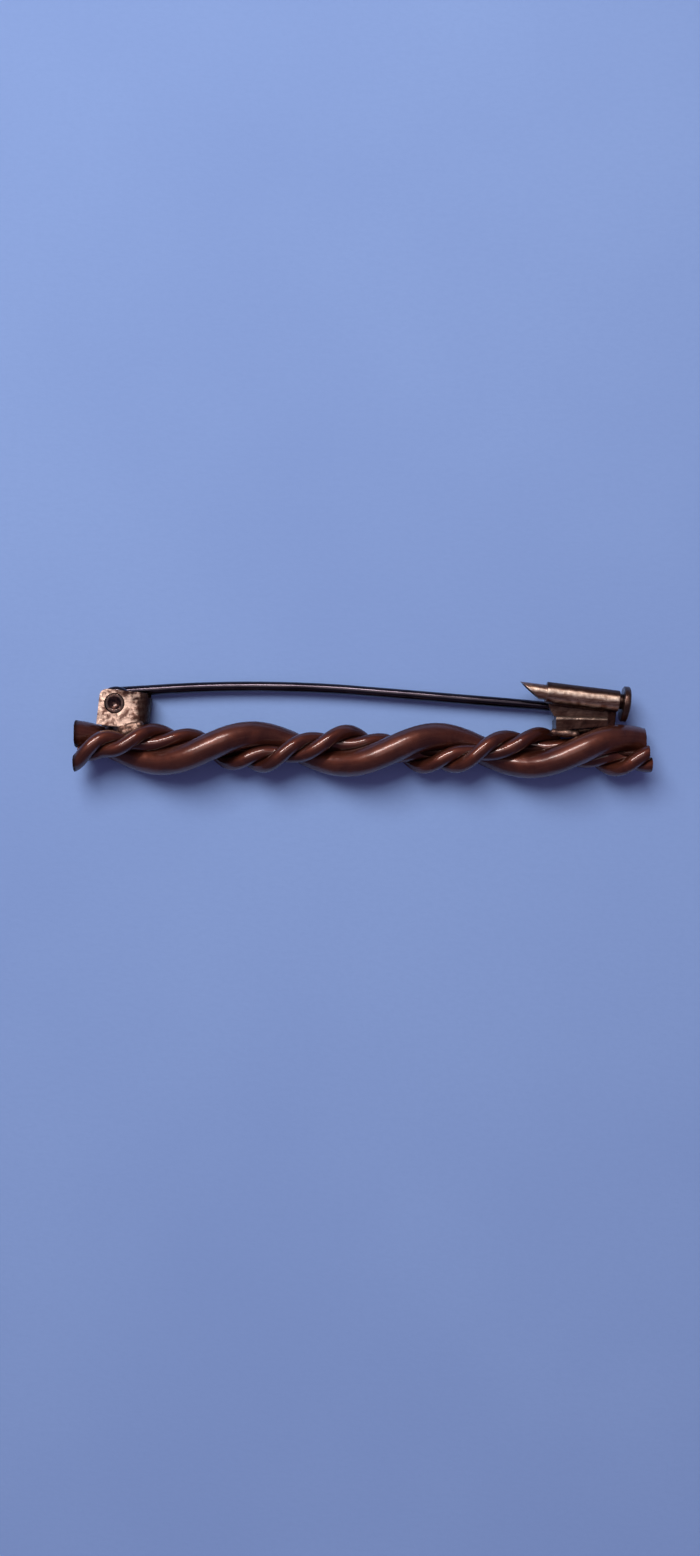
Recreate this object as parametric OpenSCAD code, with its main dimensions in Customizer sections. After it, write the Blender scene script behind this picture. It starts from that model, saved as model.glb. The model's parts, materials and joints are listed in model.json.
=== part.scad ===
// Bar brooch of twisted copper wire: one thick strand laid with a cord of two
// fine strands, a riveted hinge with a coiled steel pin, and a catch tube with a
// sliding inner tube and knob. It lies on its side, as it does on a table.
// X runs along the bar towards the catch, Y from the bar towards the pin, +Z up.

/* [Bar] */
// Length from end to end
bar_length = 55; // [52:0.5:58]
// Length along X of one turn of the strands
bar_pitch = 17.6; // [17.2:0.1:18]
// Radius of the thick strand's wire
main_r = 1.31; // [1.25:0.01:1.32]
// Distance of the thick strand's centre from the bar's axis
main_offset = 1.31; // [1.29:0.01:1.36]
// Radius of each fine wire
fine_r = 0.59; // [0.53:0.01:0.6]
// Distance of the fine cord's centre from the bar's axis
cord_offset = 1.22; // [1.21:0.01:1.28]
// Distance of each fine wire's centre from its cord's centre
fine_offset = 0.604; // [0.6:0.002:0.62]
// Length along X of one turn of the fine wires
fine_pitch = 7.42; // [7.3:0.01:7.6]

/* [Hinge] */
// Height of the rivet above the bar's axis
rivet_y = 4.2; // [4.15:0.05:4.4]
// Width of the folded hinge strip along the bar
bracket_w = 4.8; // [4.7:0.1:5.3]
// Thickness of the hinge strip
sheet_t = 0.45; // [0.35:0.05:0.5]
// Radius of the rivet's shank
rivet_r = 0.62; // [0.5:0.01:0.64]
// Radius of the rivet's sunk head
rivet_head_r = 0.92; // [0.8:0.01:1]

/* [Pin] */
// Radius of the pin's wire at the hinge
pin_r = 0.5; // [0.45:0.01:0.51]
// Radius of the pin's straight stretch
stem_r = 0.48; // [0.42:0.01:0.5]
// Angle at which the pin leaves the hinge
pin_rise = 4; // [3.5:0.1:4.5]
// Angle at which the pin's straight stretch falls towards its point
pin_fall = 4.2; // [4:0.1:4.4]

/* [Catch] */
// Outer radius of the fixed tube
tube_r = 0.98; // [0.95:0.01:1]
// Wall of the fixed tube
tube_wall = 0.22; // [0.18:0.01:0.24]
// Length of the fixed tube
tube_length = 7; // [6.6:0.1:7.2]
// Angle at which the tube falls towards the knob
tube_tilt = 6.6; // [6:0.1:7]
// Wall of the sliding tube
slide_wall = 0.2; // [0.15:0.01:0.22]
// Length of the sliding tube's nose in front of the fixed tube
nose_length = 2.6; // [2.2:0.1:2.8]
// Radius of the knob
knob_r = 1.72; // [1.5:0.01:1.8]
// Thickness of the knob at its middle
knob_t = 0.85; // [0.7:0.05:1]

/* [Hidden] */
COPPER = [0.36, 0.2, 0.15];
PALE_COPPER = [0.78, 0.62, 0.5];
GOLD = [0.62, 0.45, 0.27];
STEEL = [0.3, 0.31, 0.36];
$fn = 48;

// The bar: X of its two ends and of the crests that the two lays start from
left_x = -bar_length / 2;
right_x = bar_length / 2;
crest_x = left_x - 0.5;
main_right_x = right_x - 0.4;
fine_crest_x = -1.67;
drift = 16;
drift_start = 215;
ride_angle = 34;
ride_out = 0.17;
bar_r = main_offset + main_r;

// The hinge: a strip folded round the coil, turned a little from the bar
rivet_x = left_x + 3.8;
bracket_turn = -6;
bracket_left = -1.52;
bracket_right = bracket_left + bracket_w;
bracket_bottom = -2.2;
bracket_top = 1.32;
web_top = 0.93;
bend_r = 1.05;
far_z = 0.02 - bar_r;
running_gap = 0.06;
coil_turns = 1.25;
coil_pitch = 2 * pin_r + 0.04;
coil_width = coil_turns * coil_pitch + 2 * pin_r;
gap_far_z = far_z + sheet_t;
gap_near_z = gap_far_z + coil_width + 2 * running_gap;
near_z = gap_near_z + sheet_t;

// The pin: a coil, a straight start, an arc, the straight stretch and the point
coil_r = 1.19;
pin_z = gap_far_z + running_gap + pin_r;
pin_bend_x = left_x + 8.5;
bow_r = 133;
bow_wire_r = (pin_r + stem_r) / 2;
lap = 0.05;
lead_length = 0.3;
straight_length = 14;
shank_length = 18;
point_length = 4.6;
tip_r = 0.06;
start = [rivet_x - coil_r * sin(pin_rise), rivet_y + coil_r * cos(pin_rise)];
rise_length = (pin_bend_x - start.x) / cos(pin_rise);
bow_start = start + rise_length * [cos(pin_rise), sin(pin_rise)];
bow_centre = bow_start + bow_r * [sin(pin_rise), -cos(pin_rise)];
bow_end = bow_centre + bow_r * [sin(pin_fall), cos(pin_fall)];

// The catch: the tube stands in front of the pin, on a wall and a block
tube_x = 17.5;
tube_y = 5.63;
catch_left = 18.35;
catch_right = 23.3;
plate_right = 24.2;
block_top_y = 3.4;
block_far_z = pin_z - 0.45;
block_near_z = 0.9;
wall_far_z = -0.95;
wall_t = 0.45;
slide_gap = 0.03;
slide_r = tube_r - tube_wall - slide_gap;
knob_gap = 0.3;
knob_drop = 0.2;
knob_rim = 0.5;

// The frame: on the table below the middle of the whole object
nose_top_y = tube_y + slide_r * cos(tube_tilt) + nose_length * sin(tube_tilt);
middle_y = (nose_top_y - bar_r) / 2;
module in_frame() {
    translate([0, -middle_y, bar_r]) children();
}

// Angles of the two lays at x: the fine one runs unevenly, by a drift to and fro
function turn(x) = 360 * (x - crest_x) / bar_pitch;
function uneven(x) = drift * sin(360 * (x - fine_crest_x) / bar_pitch + drift_start);
function fine_turn(x, number) =
    360 * (x - fine_crest_x) / fine_pitch + uneven(x) + 180 * number;
// The fine cord rides up the thick strand just before the left end
function ride_up(x) = exp(-pow((x - left_x - 2.6) / 1.6, 2));
function main_point(x) =
    [x, main_offset * cos(turn(x)), -main_offset * sin(turn(x))];
function cord_point(x) =
    let (a = turn(x) + ride_angle * ride_up(x), r = cord_offset + ride_out * ride_up(x))
    [x, -r * cos(a), r * sin(a)];
// The fine wires lie round their cord, square to the way it runs
function fine_point(x, number) =
    let (a = fine_turn(x, number))
    let (along = unit(cord_point(x + 0.01) - cord_point(x - 0.01)))
    let (up = unit([0, 1, 0] - along.y * along), far = cross(up, along))
    cord_point(x) + fine_offset * (cos(a) * up + sin(a) * far);

// A round wire of the given radius along a list of points
function unit(v) = v / norm(v);
function direction(path, i) =
    unit(path[min(i + 1, len(path) - 1)] - path[max(i - 1, 0)]);
function ring(centre, along, r, sides, lead) =
    let (side = unit(cross(along, lead)), up = cross(side, along))
    [for (j = [0:sides - 1]) let (a = 360 * j / sides)
        centre + r * (cos(a) * side + sin(a) * up)];
module wire(path, r, sides, lead) {
    last = len(path) - 1;
    points = [for (i = [0:last])
        each ring(path[i], direction(path, i), r, sides, lead)];
    skin = [for (i = [0:last - 1], j = [0:sides - 1])
        let (a = i * sides, b = a + sides, k = (j + 1) % sides)
        each [[a + j, b + j, b + k], [a + j, b + k, a + k]]];
    ends = [[for (j = [0:sides - 1]) j],
        [for (j = [sides - 1:-1:0]) last * sides + j]];
    polyhedron(points = points, faces = concat(skin, ends));
}

// Everything between two planes across the bar, so that its ends are cut square
module cut_square(from_x, to_x) {
    intersection() {
        children();
        translate([from_x, -6, -6]) cube([to_x - from_x, 12, 12]);
    }
}

module main_strand() {
    step = bar_pitch / 32;
    path = [for (x = [left_x - 2 * step:step:main_right_x + 2 * step]) main_point(x)];
    color(COPPER) in_frame()
        cut_square(left_x, main_right_x) wire(path, main_r, 24, [0, 1, 0]);
}

module fine_strand(number) {
    step = fine_pitch / 20;
    end_x = right_x - 0.3 * (number - 1);
    path = [for (x = [left_x - step:step:end_x + step]) fine_point(x, number)];
    color(COPPER) in_frame()
        cut_square(left_x, end_x) wire(path, fine_r, 12, [0, 1, 0]);
}

// Places its children at the rivet, turned with the hinge strip
module at_hinge() {
    in_frame() translate([rivet_x, rivet_y, 0]) rotate(bracket_turn) children();
}

// The strip's section across its fold, seen along the bar's Y, outside minus inside
module fold_outline(inset) {
    r = bend_r - inset;
    right = bracket_right - inset;
    low = far_z + inset;
    high = near_z - inset;
    difference() {
        translate([bracket_left - 1, low]) square([right - bracket_left + 1, high - low]);
        for (z = [low, high]) {
            toward = z == low ? 1 : -1;
            difference() {
                translate([right - r, min(z, z + toward * r)]) square([r + 1, r]);
                translate([right - r, z + toward * r]) circle(r);
            }
        }
    }
}

// One ear's face: a round corner at its top left, and its bottom right cut away
// over the fine wire that rises there
module ear_outline() {
    corner = 0.75;
    width = bracket_right - bracket_left;
    difference() {
        union() {
            translate([bracket_left, bracket_bottom])
                square([width, bracket_top - corner - bracket_bottom]);
            translate([bracket_left + corner, bracket_bottom])
                square([width - corner, bracket_top - bracket_bottom]);
            translate([bracket_left + corner, bracket_top - corner]) circle(corner);
        }
        polygon([[1.7, bracket_bottom - 0.13], [2.6, bracket_bottom + 0.46],
            [bracket_right + 1, bracket_bottom + 1.25],
            [bracket_right + 1, bracket_bottom - 1]]);
    }
}

module hinge_bracket() {
    depth = near_z - far_z;
    color(PALE_COPPER) at_hinge() difference() {
        intersection() {
            translate([0, 0, far_z - 1]) linear_extrude(depth + 2) ear_outline();
            rotate([-90, 0, 0]) mirror([0, 1, 0])
                translate([0, 0, bracket_bottom - 1])
                linear_extrude(bracket_top - bracket_bottom + 2) difference() {
                    fold_outline(0);
                    fold_outline(sheet_t);
                }
        }
        translate([0, 0, gap_near_z - 0.2]) cylinder(h = sheet_t + 1, r = rivet_head_r);
        translate([0, 0, far_z - 1]) cylinder(h = sheet_t + 1.2, r = rivet_r);
        translate([bracket_right - bend_r, web_top, gap_far_z])
            cube([bend_r + 1, 1, gap_near_z - gap_far_z]);
    }
}

module hinge_rivet() {
    sunk = 0.08;
    cup_r = 0.95;
    cup_depth = 0.25;
    color(COPPER) at_hinge() difference() {
        union() {
            translate([0, 0, far_z]) cylinder(h = gap_near_z - far_z, r = rivet_r);
            translate([0, 0, gap_near_z]) cylinder(h = sheet_t - sunk, r = rivet_head_r);
        }
        translate([0, 0, near_z - sunk + cup_r - cup_depth]) sphere(cup_r);
    }
}

// A soft lump: a hull of flattened balls
module lump(centres, size) {
    hull() for (c = centres) translate(c) scale(size) sphere(1, $fn = 14);
}

module hinge_solder() {
    color(PALE_COPPER) in_frame() {
        lump([[-22.3, 1.55, 0.6], [-21.1, 1.85, 0.55]], [0.6, 0.5, 0.42]);
        lump([[-22.9, 1.6, -2.0], [-21.2, 1.55, -1.9]], [0.6, 0.45, 0.4]);
    }
}

// The coil: round the rivet from the pin's start, towards the near ear
module pin_coil() {
    steps = 36;
    turns = [for (i = [0:steps]) let (a = 90 + pin_rise + 360 * coil_turns * i / steps)
        [rivet_x + coil_r * cos(a), rivet_y + coil_r * sin(a),
            pin_z + coil_pitch * coil_turns * i / steps]];
    lead_in = [start.x + lead_length * cos(pin_rise),
        start.y + lead_length * sin(pin_rise), pin_z];
    color(STEEL) in_frame() wire(concat([lead_in], turns), pin_r, 14, [0, 0, 1]);
}

// Places its children at a point of the pin, with +Z along it
module along_pin(point, angle) {
    translate([point.x, point.y, pin_z]) rotate([0, 90, angle]) children();
}

// The straight stretch, its taper and its point, turned about their common axis
module pin_shank() {
    taper_r = stem_r - 0.04;
    rotate_extrude() polygon([[0, -lap], [stem_r, -lap], [stem_r, straight_length],
        [taper_r, shank_length], [tip_r, shank_length + point_length],
        [0, shank_length + point_length]]);
}

module pin_stem() {
    bow_angle = pin_rise + pin_fall;
    color(STEEL) in_frame() union() {
        along_pin(start, pin_rise) translate([0, 0, lead_length])
            cylinder(h = rise_length - lead_length + lap, r = pin_r);
        translate([bow_centre.x, bow_centre.y, pin_z]) rotate(90 - pin_fall)
            rotate_extrude(angle = bow_angle, $fn = 360)
            translate([bow_r, 0]) circle(bow_wire_r, $fn = 32);
        along_pin(bow_end, -pin_fall) pin_shank();
    }
}

// The block under the wall: it is bedded on the strands
module catch_block() {
    edge = 0.3;
    color(GOLD) in_frame() difference() {
        translate([0, 0, block_far_z]) linear_extrude(block_near_z - block_far_z)
            polygon([[catch_left, 1.9], [catch_right, 2.35],
                [catch_right, block_top_y - 0.12], [catch_left, block_top_y]]);
        translate([catch_left - 1, block_top_y - 0.3, block_near_z - edge])
            difference() {
                cube([7, edge + 1, edge + 1]);
                translate([-1, 0, 0]) rotate([0, 90, 0]) cylinder(h = 9, r = edge);
            }
        translate([catch_left - 1, block_top_y - 0.35, block_far_z - 1])
            cube([7, 1, wall_far_z - block_far_z + 1]);
    }
}

// Places its children at the fixed tube's left end, with +Z along the tube
module along_tube() {
    in_frame() translate([tube_x, tube_y, 0]) rotate([0, 90, -tube_tilt]) children();
}

// The wall carries the tube: past the block's end it reaches down to the strands
module catch_wall() {
    color(GOLD) difference() {
        in_frame() translate([0, 0, wall_far_z]) linear_extrude(wall_t)
            polygon([[catch_left, block_top_y], [catch_right, block_top_y - 0.12],
                [catch_right, 2.4], [plate_right, 2.4], [plate_right + 0.2, 4.6],
                [catch_left - 0.5, 5.4], [catch_left - 0.5, 4.2]]);
        along_tube() translate([0, 0, -1]) cylinder(h = tube_length + 2, r = tube_r);
    }
}

module catch_tube() {
    color(GOLD) along_tube() difference() {
        cylinder(h = tube_length, r = tube_r);
        translate([0, 0, -1]) cylinder(h = tube_length + 2, r = tube_r - tube_wall);
    }
}

module catch_solder() {
    color(PALE_COPPER) in_frame() {
        lump([[18.3, 1.75, 0.5], [19.9, 1.75, 0.5]], [0.5, 0.36, 0.4]);
        lump([[18.6, 1.7, -1.3], [22.5, 2.2, -1.3]], [0.5, 0.45, 0.5]);
        lump([[18.6, 4.6, -0.32], [22.9, 4.1, -0.32]], [0.4, 0.24, 0.26]);
    }
}

// The sliding tube: its nose is cut slanting, like a quill
module slide_tube() {
    nose_cut = 54;
    length = nose_length + tube_length + knob_gap;
    color(GOLD) along_tube() difference() {
        translate([0, 0, -nose_length]) cylinder(h = length, r = slide_r);
        translate([0, 0, -nose_length - 1])
            cylinder(h = length + 2, r = slide_r - slide_wall);
        translate([0, slide_r, -nose_length]) rotate([-nose_cut, 0, 0])
            translate([-4, -8, -8]) cube(8);
    }
}

module slide_knob() {
    dome = knob_t - knob_rim;
    dome_r = (knob_r * knob_r + dome * dome) / (2 * dome);
    color(GOLD) along_tube()
        translate([0, -knob_drop, tube_length + knob_gap]) union() {
            cylinder(h = knob_rim, r = knob_r);
            intersection() {
                translate([0, 0, knob_t - dome_r]) sphere(dome_r, $fn = 96);
                translate([0, 0, knob_rim]) cylinder(h = knob_t, r = knob_r);
            }
        }
}

main_strand();
fine_strand(1);  // fine_strand_1
fine_strand(2);  // fine_strand_2
hinge_bracket();
hinge_rivet();
hinge_solder();
pin_coil();
pin_stem();
catch_block();
catch_wall();
catch_tube();
catch_solder();
slide_tube();
slide_knob();
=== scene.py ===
import json
import math

import bmesh
import bpy
import numpy as np
from mathutils import Matrix, Vector, kdtree, noise


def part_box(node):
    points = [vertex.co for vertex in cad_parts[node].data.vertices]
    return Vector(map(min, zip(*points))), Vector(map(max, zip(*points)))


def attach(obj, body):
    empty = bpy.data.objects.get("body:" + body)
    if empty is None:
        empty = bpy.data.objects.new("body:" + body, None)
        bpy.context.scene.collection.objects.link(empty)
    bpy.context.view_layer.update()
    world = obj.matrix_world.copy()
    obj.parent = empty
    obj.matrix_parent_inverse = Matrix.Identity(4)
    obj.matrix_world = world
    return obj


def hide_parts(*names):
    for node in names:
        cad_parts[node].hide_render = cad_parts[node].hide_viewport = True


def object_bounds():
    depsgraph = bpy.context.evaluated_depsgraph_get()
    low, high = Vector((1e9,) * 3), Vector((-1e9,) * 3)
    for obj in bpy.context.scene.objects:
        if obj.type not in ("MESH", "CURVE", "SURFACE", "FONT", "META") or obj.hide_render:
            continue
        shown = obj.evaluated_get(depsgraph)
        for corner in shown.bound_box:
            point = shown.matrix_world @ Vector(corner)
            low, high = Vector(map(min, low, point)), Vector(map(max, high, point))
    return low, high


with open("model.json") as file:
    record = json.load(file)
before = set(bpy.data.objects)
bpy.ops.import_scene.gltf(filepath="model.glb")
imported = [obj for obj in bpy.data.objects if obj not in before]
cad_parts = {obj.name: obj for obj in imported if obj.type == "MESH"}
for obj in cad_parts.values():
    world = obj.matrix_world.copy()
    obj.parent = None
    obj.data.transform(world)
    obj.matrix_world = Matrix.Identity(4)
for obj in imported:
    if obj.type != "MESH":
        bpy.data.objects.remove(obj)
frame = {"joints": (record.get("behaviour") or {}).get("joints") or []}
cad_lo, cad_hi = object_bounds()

# ---------------------------------------------------------------- the frame
# Shapes are made in millimetres about the bar's own axis, then put in the row frame.
MM = 0.001
MERGE = 1e-5
JOINTS = {j["name"]: j for j in frame["joints"]}
strand_lo, strand_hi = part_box("main_strand")
middle = (strand_lo + strand_hi) / 2
AXIS = Vector(((cad_lo.x + cad_hi.x) / 2, middle.y, middle.z))
TO_ROW = Matrix.Translation(AXIS) @ Matrix.Scale(MM, 4)


def mm(point):
    """A point of the row frame, in millimetres about the bar's axis."""
    return np.array((Vector(point) - AXIS) / MM)


def box_mm(node):
    lo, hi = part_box(node)
    return mm(lo), mm(hi)


LEFT, RIGHT = mm(cad_lo)[0], mm(cad_hi)[0]
MAIN_RIGHT = box_mm("main_strand")[1][0]
BAR_R = (strand_hi.z - strand_lo.z) / 2 / MM

# The lay of the strands: one thick wire, and a cord of two fine ones that winds round it
PITCH = 17.6
CREST = LEFT - 0.5
MAIN_R = BAR_R / 2
FINE_PITCH = 7.42
FINE_CREST = -1.67
DRIFT, DRIFT_START = math.radians(16), math.radians(215)
# The real wires are pressed into one another. So the fine ones are fuller than the design's, and
# their cord is nearer the bar's axis.
FINE_R = 0.70
FINE_OFFSET = 0.62
CORD_OFFSET = 1.07
# Near the bar's left end the cord rides up and out on the thick wire
RIDE_AT, RIDE_WIDTH = 2.6, 1.6
RIDE_TURN = math.radians(34)
RIDE_OUT = 0.17

# The hinge
RIVET = mm(JOINTS["pin_swing"]["pos_m"])
STRIP_T = 0.45
STRIP_TURN = math.radians(-6)
STRIP_LEFT, STRIP_RIGHT = -1.52, 3.28
STRIP_LOW, STRIP_TOP, WEB_TOP = -2.2, 1.32, 0.93
BEND_R = 1.05
HEAD_R, SHANK_R = 0.92, 0.62
strip_lo, strip_hi = box_mm("hinge_bracket")
FAR_Z, NEAR_Z = strip_lo[2], strip_hi[2]

# The pin
PIN_R, STEM_R, TIP_R = 0.5, 0.48, 0.06
PIN_SLACK = 0.008  # drawn this much thinner, which leaves room for its unevenness
COIL_R, COIL_TURNS, COIL_PITCH, COIL_POINTS = 1.19, 1.25, 1.04, 90
PIN_RISE, PIN_FALL = math.radians(4), math.radians(4.2)
PIN_Z = box_mm("pin_stem")[0][2] + PIN_R
BOW_R = 133.0
BEND_X = LEFT + 8.5
STRAIGHT, SHANK, POINT = 14.0, 18.0, 4.6

# The catch
TUBE_R, TUBE_WALL, TUBE_LENGTH = 0.98, 0.22, 7.0
TUBE_FULLER = 0.05  # the photo's tube is a little thicker than the design's
SLIDE_R, SLIDE_WALL = 0.73, 0.2
NOSE, NOSE_SLANT, KNOB_GAP, KNOB_DROP = 2.6, math.radians(54), 0.3, 0.2
KNOB_R, KNOB_T, KNOB_RIM = 1.72, 0.85, 0.5
along = JOINTS["catch_slide"]["axis"]
TILT = math.atan2(-along[1], along[0])

# The floor, in metres, and the camera over it
FLOOR_SIZE = 0.6
CAMERA_HEIGHT, VIEW_HEIGHT = 150.0, 148.9
CAMERA_OFFSET, CAMERA_TURN = (-1.19, -2.73), math.radians(0.49)


# ---------------------------------------------------------------- mesh helpers
def unit(v):
    return v / np.linalg.norm(v, axis=-1, keepdims=True)


def ramp(values, start, length):
    """0 up to start, then rising to 1 over length."""
    return np.clip((values - start) / length, 0, 1)


def wobble(points, scale, seed):
    """Smooth noise from -1 to 1 at each point."""
    shift = Vector((seed * 7.3, seed * 3.1, seed * 5.7))
    return np.array([noise.noise(Vector(p) * scale + shift) for p in points])


def linked(name, data):
    """A new object in the scene."""
    obj = bpy.data.objects.new(name, data)
    bpy.context.scene.collection.objects.link(obj)
    return obj


def mesh_from(name, verts, faces):
    mesh = bpy.data.meshes.new(name)
    mesh.from_pydata([tuple(v) for v in verts], [], faces)
    mesh.validate()
    return mesh


def swept(name, points, radii, sides):
    """A round wire along a path. Its 'lay' holds the length along it and the direction round it."""
    points = np.asarray(points, float)
    tangent = unit(np.gradient(points, axis=0))
    side = np.zeros_like(points)
    side[0] = unit(np.cross(tangent[0], [0.0, 0.0, 1.0]))
    for i in range(1, len(points)):
        side[i] = unit(side[i - 1] - (side[i - 1] @ tangent[i]) * tangent[i])
    up = np.cross(tangent, side)
    a = np.linspace(0, 2 * math.pi, sides, endpoint=False)
    ring = np.cos(a)[None, :, None] * side[:, None, :] + np.sin(a)[None, :, None] * up[:, None, :]
    verts = (points[:, None, :] + np.asarray(radii)[:, None, None] * ring).reshape(-1, 3)
    last = len(points) - 1
    faces = []
    for i in range(last):
        for j in range(sides):
            k = (j + 1) % sides
            faces.append((i * sides + j, i * sides + k, (i + 1) * sides + k, (i + 1) * sides + j))
    faces.append(tuple(range(sides - 1, -1, -1)))
    faces.append(tuple(last * sides + j for j in range(sides)))
    mesh = mesh_from(name, verts, faces)
    run = np.concatenate([[0], np.cumsum(np.linalg.norm(np.diff(points, axis=0), axis=1))])
    lay = np.stack(np.broadcast_arrays(run[:, None], np.cos(a)[None, :], np.sin(a)[None, :]), -1)
    attribute = mesh.attributes.new("lay", "FLOAT_VECTOR", "POINT")
    attribute.data.foreach_set("vector", lay.reshape(-1).astype(np.float32))
    return mesh


def cut(mesh, where, outward, edge):
    """Cuts the mesh off at a plane, closes it and rounds the cut's edge."""
    bm = bmesh.new()
    bm.from_mesh(mesh)
    geom = bm.verts[:] + bm.edges[:] + bm.faces[:]
    done = bmesh.ops.bisect_plane(bm, geom=geom, dist=MERGE, plane_co=where, plane_no=outward,
                                  clear_outer=True)
    rim = [e for e in done["geom_cut"] if isinstance(e, bmesh.types.BMEdge)]
    bmesh.ops.edgeloop_fill(bm, edges=rim)
    rim = [e for e in rim if e.is_valid]
    bmesh.ops.bevel(bm, geom=rim, offset=edge, segments=4, profile=0.5, affect="EDGES",
                    clamp_overlap=True)
    bmesh.ops.recalc_face_normals(bm, faces=bm.faces[:])
    bm.to_mesh(mesh)
    bm.free()
    return mesh


def lathe(name, profile, sides, closed):
    """A surface turned about Z from (radius, z) pairs; closed profiles make a ring."""
    verts, faces, rings = [], [], []
    for r, z in profile:
        if r < MERGE / 10:
            rings.append([len(verts)])
            verts.append((0, 0, z))
            continue
        rings.append(list(range(len(verts), len(verts) + sides)))
        verts += [(r * math.cos(2 * math.pi * j / sides), r * math.sin(2 * math.pi * j / sides), z)
                  for j in range(sides)]
    pairs = list(zip(rings, rings[1:] + rings[:1])) if closed else list(zip(rings, rings[1:]))
    for a, b in pairs:
        for j in range(sides):
            k = (j + 1) % sides
            if len(a) == 1 and len(b) > 1:
                faces.append((a[0], b[k], b[j]))
            elif len(b) == 1 and len(a) > 1:
                faces.append((a[j], a[k], b[0]))
            elif len(a) > 1:
                faces.append((a[j], a[k], b[k], b[j]))
    mesh = mesh_from(name, verts, faces)
    return tidied(mesh)


def rod(name, radius, low, high, sides):
    return lathe(name, [(0, low), (radius, low), (radius, high), (0, high)], sides, False)


def rectangle(low, high):
    return [low, (high[0], low[1]), high, (low[0], high[1])]


def tidied(mesh):
    """The mesh with its doubled points merged and its faces turned outward."""
    bm = bmesh.new()
    bm.from_mesh(mesh)
    bmesh.ops.remove_doubles(bm, verts=bm.verts[:], dist=MERGE)
    bmesh.ops.recalc_face_normals(bm, faces=bm.faces[:])
    bm.to_mesh(mesh)
    bm.free()
    return mesh


def rounded(corners, radius, steps=4, closed=True):
    """A polyline whose corners are rounded off."""
    out = []
    n = len(corners)
    for i, corner in enumerate(corners):
        p = np.array(corner, float)
        if not closed and i in (0, n - 1):
            out.append(tuple(p))
            continue
        a, b = np.array(corners[i - 1], float), np.array(corners[(i + 1) % n], float)
        reach = min(radius, 0.45 * np.linalg.norm(a - p), 0.45 * np.linalg.norm(b - p))
        q, s = p + unit(a - p) * reach, p + unit(b - p) * reach
        for t in np.linspace(0, 1, steps + 1):
            out.append(tuple((1 - t) ** 2 * q + 2 * t * (1 - t) * p + t ** 2 * s))
    return out


def stretched(profile, step):
    """The same polyline with points added so that no stretch is longer than step."""
    out = []
    for i, p in enumerate(profile):
        q = profile[(i + 1) % len(profile)]
        count = max(1, int(math.ceil(math.dist(p, q) / step)))
        out += [tuple(np.array(p) + (np.array(q) - np.array(p)) * k / count) for k in range(count)]
    return out


def prism(name, outline, low, high):
    """An outline in X and Y, drawn up from low to high."""
    n = len(outline)
    verts = [(x, y, low) for x, y in outline] + [(x, y, high) for x, y in outline]
    faces = [tuple(range(n - 1, -1, -1)), tuple(range(n, 2 * n))]
    faces += [(i, (i + 1) % n, n + (i + 1) % n, n + i) for i in range(n)]
    return tidied(mesh_from(name, verts, faces))


def ball(name, centre, size):
    bm = bmesh.new()
    bmesh.ops.create_icosphere(bm, subdivisions=4, radius=1)
    mesh = bpy.data.meshes.new(name)
    bm.to_mesh(mesh)
    bm.free()
    mesh.transform(Matrix.Translation(Vector(centre)) @ Matrix.Diagonal((*size, 1)))
    return mesh


def joined(name, meshes):
    bm = bmesh.new()
    for mesh in meshes:
        bm.from_mesh(mesh)
    out = bpy.data.meshes.new(name)
    bm.to_mesh(out)
    bm.free()
    return out


def modified(mesh, steps):
    """The mesh after some modifiers, given as (type, settings) pairs."""
    obj = linked("working", mesh)
    for kind, settings in steps:
        modifier = obj.modifiers.new(kind, kind)
        for key, value in settings.items():
            setattr(modifier, key, value)
    graph = bpy.context.evaluated_depsgraph_get()
    graph.update()
    out = bpy.data.meshes.new_from_object(obj.evaluated_get(graph))
    bpy.data.objects.remove(obj)
    return out


def combined(mesh, other, operation):
    """An exact boolean of two meshes."""
    tool = linked("tool", other)
    settings = {"operation": operation, "solver": "EXACT", "object": tool}
    mesh = modified(mesh, [("BOOLEAN", settings)])
    bpy.data.objects.remove(tool)
    return mesh


def without(mesh, cutters):
    for cutter in cutters:
        mesh = combined(mesh, cutter, "DIFFERENCE")
    return mesh


def refined(mesh):
    """The same surface in quarter-size faces."""
    settings = {"levels": 1, "render_levels": 1, "subdivision_type": "SIMPLE"}
    return modified(mesh, [("SUBSURF", settings)])


def weathered(mesh, voxel, smooth):
    """One even skin over the mesh, its edges worn round."""
    skin = {"mode": "VOXEL", "voxel_size": voxel, "use_smooth_shade": True}
    return modified(mesh, [("REMESH", skin), ("SMOOTH", {"factor": 0.5, "iterations": smooth})])


def coordinates(mesh):
    co = np.zeros(len(mesh.vertices) * 3)
    mesh.vertices.foreach_get("co", co)
    return co.reshape(-1, 3)


def moved_to(mesh, co):
    mesh.vertices.foreach_set("co", co.ravel())
    mesh.update()
    return mesh


def normals(mesh):
    no = np.zeros(len(mesh.vertices) * 3)
    mesh.vertex_normals.foreach_get("vector", no)
    return no.reshape(-1, 3)


def moved_out(mesh, amount):
    """Moves each vertex along its normal."""
    return moved_to(mesh, coordinates(mesh) + normals(mesh) * np.asarray(amount)[:, None])


def mark(mesh, name, values):
    attribute = mesh.attributes.get(name) or mesh.attributes.new(name, "FLOAT", "POINT")
    attribute.data.foreach_set("value", np.clip(values, 0, 1).astype(np.float32))


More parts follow.
